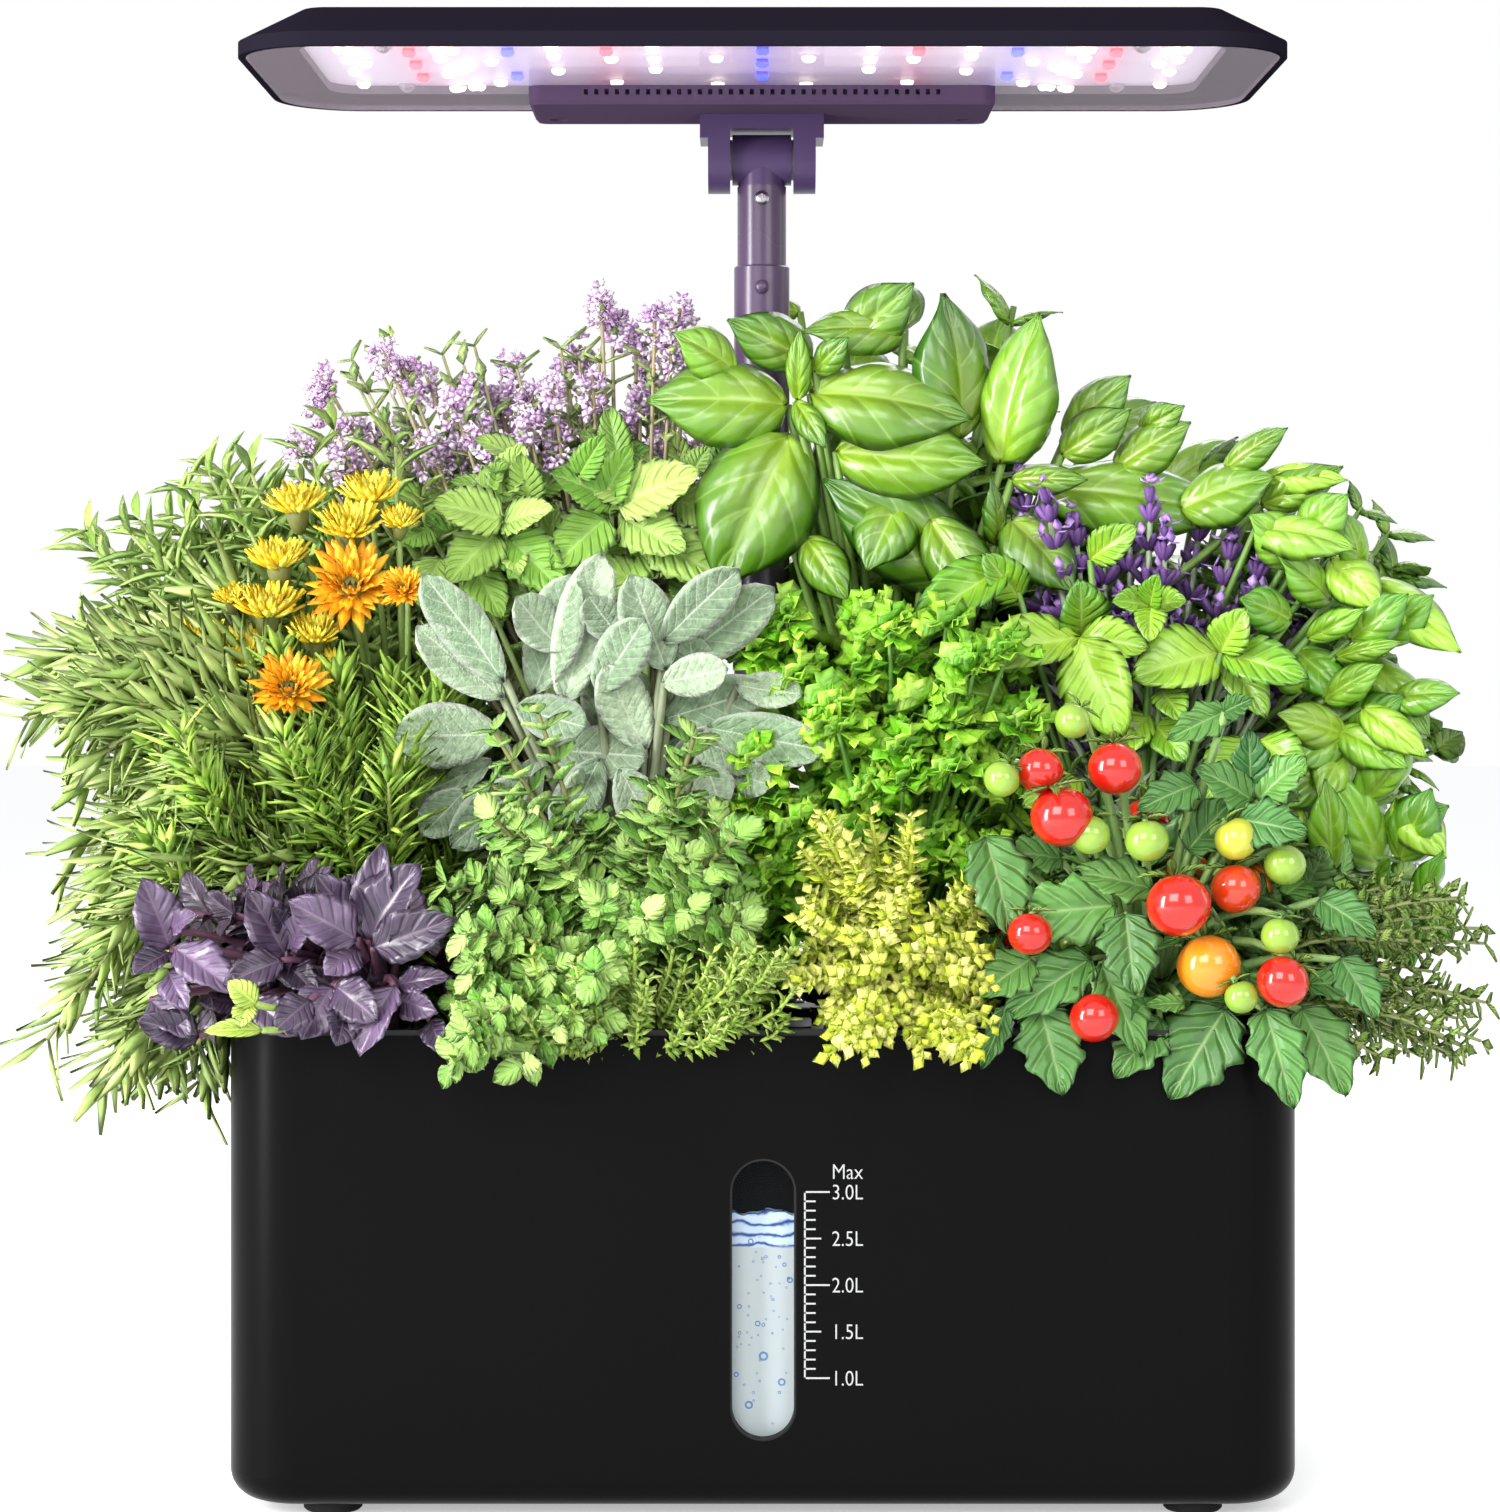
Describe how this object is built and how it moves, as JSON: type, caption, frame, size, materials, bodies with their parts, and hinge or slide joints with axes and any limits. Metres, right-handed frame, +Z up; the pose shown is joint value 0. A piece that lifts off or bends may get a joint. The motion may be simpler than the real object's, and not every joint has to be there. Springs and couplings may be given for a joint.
{
  "type": "countertop hydroponic garden",
  "caption": "Box-shaped water tank with a level window, a lift-off deck of planted net cups and a tilting grow lamp on a telescopic pole.",
  "frame": {"origin": "centre of the footprint on the surface that it stands on", "axes": "+X to the right seen from the front, +Y to the back, +Z up"},
  "size_m": [0.43, 0.21, 0.4114],
  "materials": {
    "black_case": "satin",
    "black_deck": "satin",
    "rubber": "matte",
    "clear_window": "gloss",
    "white_plastic": "satin",
    "net_cup": "satin",
    "screw_steel": "satin",
    "pole_metal": "satin",
    "hinge_plastic": "satin",
    "washer": "satin",
    "smoked_plastic": "gloss",
    "circuit_board": "satin",
    "lamp_gloss": "gloss",
    "clear_lens": "gloss",
    "led_board": "satin",
    "led_white": "gloss",
    "led_red": "gloss",
    "led_blue": "gloss",
    "button": "satin",
    "foliage_calendula": "satin",
    "foliage_flowering_thyme": "satin",
    "foliage_large_basil": "satin",
    "foliage_bush_basil": "satin",
    "foliage_rosemary": "satin",
    "foliage_sage": "satin",
    "foliage_parsley": "satin",
    "foliage_lavender": "satin",
    "foliage_purple_basil": "satin",
    "foliage_oregano": "satin",
    "foliage_golden_oregano": "satin",
    "foliage_cherry_tomato": "satin"
  },
  "bodies": {
    "tank": {"tank": "black_case", "feet": "rubber", "window_lens": "clear_window", "window_gasket": "rubber", "pump_housing": "black_case", "pump_cover": "black_case", "suction_cups": "rubber"},
    "impeller": {"pump_impeller": "white_plastic"},
    "deck": {"grow_deck": "black_deck", "dc_inlet": "black_deck", "pole_socket": "black_deck", "socket_screws": "screw_steel", "outer_tube": "pole_metal", "clamp_screw": "pole_metal"},
    "flap": {"fill_flap": "black_deck"},
    "mast": {"upper_tube": "pole_metal", "hinge_barrel": "hinge_plastic", "barrel_screw": "screw_steel"},
    "lamp": {"hinge_yoke": "hinge_plastic", "hinge_bolt": "screw_steel", "hinge_nut": "screw_steel", "friction_washers": "washer", "control_box": "smoked_plastic", "driver_board": "circuit_board", "lamp_frame": "lamp_gloss", "lamp_lens": "clear_lens", "box_screws": "screw_steel", "led_board": "led_board", "white_leds": "led_white", "red_leds": "led_red", "blue_leds": "led_blue", "lamp_top_case": "lamp_gloss", "panel_screws": "screw_steel"},
    "power_key": {"power_button": "button"},
    "mode_key": {"mode_button": "button"},
    "calendula_pod": {"calendula": "foliage_calendula", "calendula_cup": "net_cup"},
    "flowering_thyme_pod": {"flowering_thyme": "foliage_flowering_thyme", "flowering_thyme_cup": "net_cup"},
    "large_basil_pod": {"large_basil": "foliage_large_basil", "large_basil_cup": "net_cup"},
    "bush_basil_pod": {"bush_basil": "foliage_bush_basil", "bush_basil_cup": "net_cup"},
    "rosemary_pod": {"rosemary": "foliage_rosemary", "rosemary_cup": "net_cup"},
    "sage_pod": {"sage": "foliage_sage", "sage_cup": "net_cup"},
    "parsley_pod": {"parsley": "foliage_parsley", "parsley_cup": "net_cup"},
    "lavender_pod": {"lavender": "foliage_lavender", "lavender_cup": "net_cup"},
    "purple_basil_pod": {"purple_basil": "foliage_purple_basil", "purple_basil_cup": "net_cup"},
    "oregano_pod": {"oregano": "foliage_oregano", "oregano_cup": "net_cup"},
    "golden_oregano_pod": {"golden_oregano": "foliage_golden_oregano", "golden_oregano_cup": "net_cup"},
    "cherry_tomato_pod": {"cherry_tomato": "foliage_cherry_tomato", "cherry_tomato_cup": "net_cup"}
  },
  "joints": [
    {"name": "impeller_spin", "type": "hinge", "parent": "tank", "child": "impeller", "pos_m": [0.098, 0.03, 0.0245], "axis": [0, 1, 0], "continuous": true},
    {"name": "deck_lift", "type": "slide", "parent": "tank", "child": "deck", "axis": [0, 0, 1], "range_m": [0, 0.06]},
    {"name": "flap_hinge", "type": "hinge", "parent": "deck", "child": "flap", "pos_m": [0, 0.013, 0.1272], "axis": [-1, 0, 0], "range_deg": [0, 100]},
    {"name": "pole_height", "type": "slide", "parent": "deck", "child": "mast", "axis": [0, 0, 1], "range_m": [-0.016, 0.1]},
    {"name": "lamp_tilt", "type": "hinge", "parent": "mast", "child": "lamp", "pos_m": [0, 0.037, 0.379], "axis": [-1, 0, 0], "range_deg": [-10, 60]},
    {"name": "power_press", "type": "slide", "parent": "lamp", "child": "power_key", "axis": [0, 0, -1], "range_m": [0, 0.001], "stiffness_N_per_m": 500, "springref_m": -0.0005},
    {"name": "mode_press", "type": "slide", "parent": "lamp", "child": "mode_key", "axis": [0, 0, -1], "range_m": [0, 0.001], "stiffness_N_per_m": 500, "springref_m": -0.0005},
    {"name": "calendula_lift", "type": "slide", "parent": "deck", "child": "calendula_pod", "axis": [0, 0, 1], "range_m": [0, 0.042]},
    {"name": "flowering_thyme_lift", "type": "slide", "parent": "deck", "child": "flowering_thyme_pod", "axis": [0, 0, 1], "range_m": [0, 0.042]},
    {"name": "large_basil_lift", "type": "slide", "parent": "deck", "child": "large_basil_pod", "axis": [0, 0, 1], "range_m": [0, 0.042]},
    {"name": "bush_basil_lift", "type": "slide", "parent": "deck", "child": "bush_basil_pod", "axis": [0, 0, 1], "range_m": [0, 0.042]},
    {"name": "rosemary_lift", "type": "slide", "parent": "deck", "child": "rosemary_pod", "axis": [0, 0, 1], "range_m": [0, 0.042]},
    {"name": "sage_lift", "type": "slide", "parent": "deck", "child": "sage_pod", "axis": [0, 0, 1], "range_m": [0, 0.042]},
    {"name": "parsley_lift", "type": "slide", "parent": "deck", "child": "parsley_pod", "axis": [0, 0, 1], "range_m": [0, 0.042]},
    {"name": "lavender_lift", "type": "slide", "parent": "deck", "child": "lavender_pod", "axis": [0, 0, 1], "range_m": [0, 0.042]},
    {"name": "purple_basil_lift", "type": "slide", "parent": "deck", "child": "purple_basil_pod", "axis": [0, 0, 1], "range_m": [0, 0.042]},
    {"name": "oregano_lift", "type": "slide", "parent": "deck", "child": "oregano_pod", "axis": [0, 0, 1], "range_m": [0, 0.042]},
    {"name": "golden_oregano_lift", "type": "slide", "parent": "deck", "child": "golden_oregano_pod", "axis": [0, 0, 1], "range_m": [0, 0.042]},
    {"name": "cherry_tomato_lift", "type": "slide", "parent": "deck", "child": "cherry_tomato_pod", "axis": [0, 0, 1], "range_m": [0, 0.042]}
  ]
}
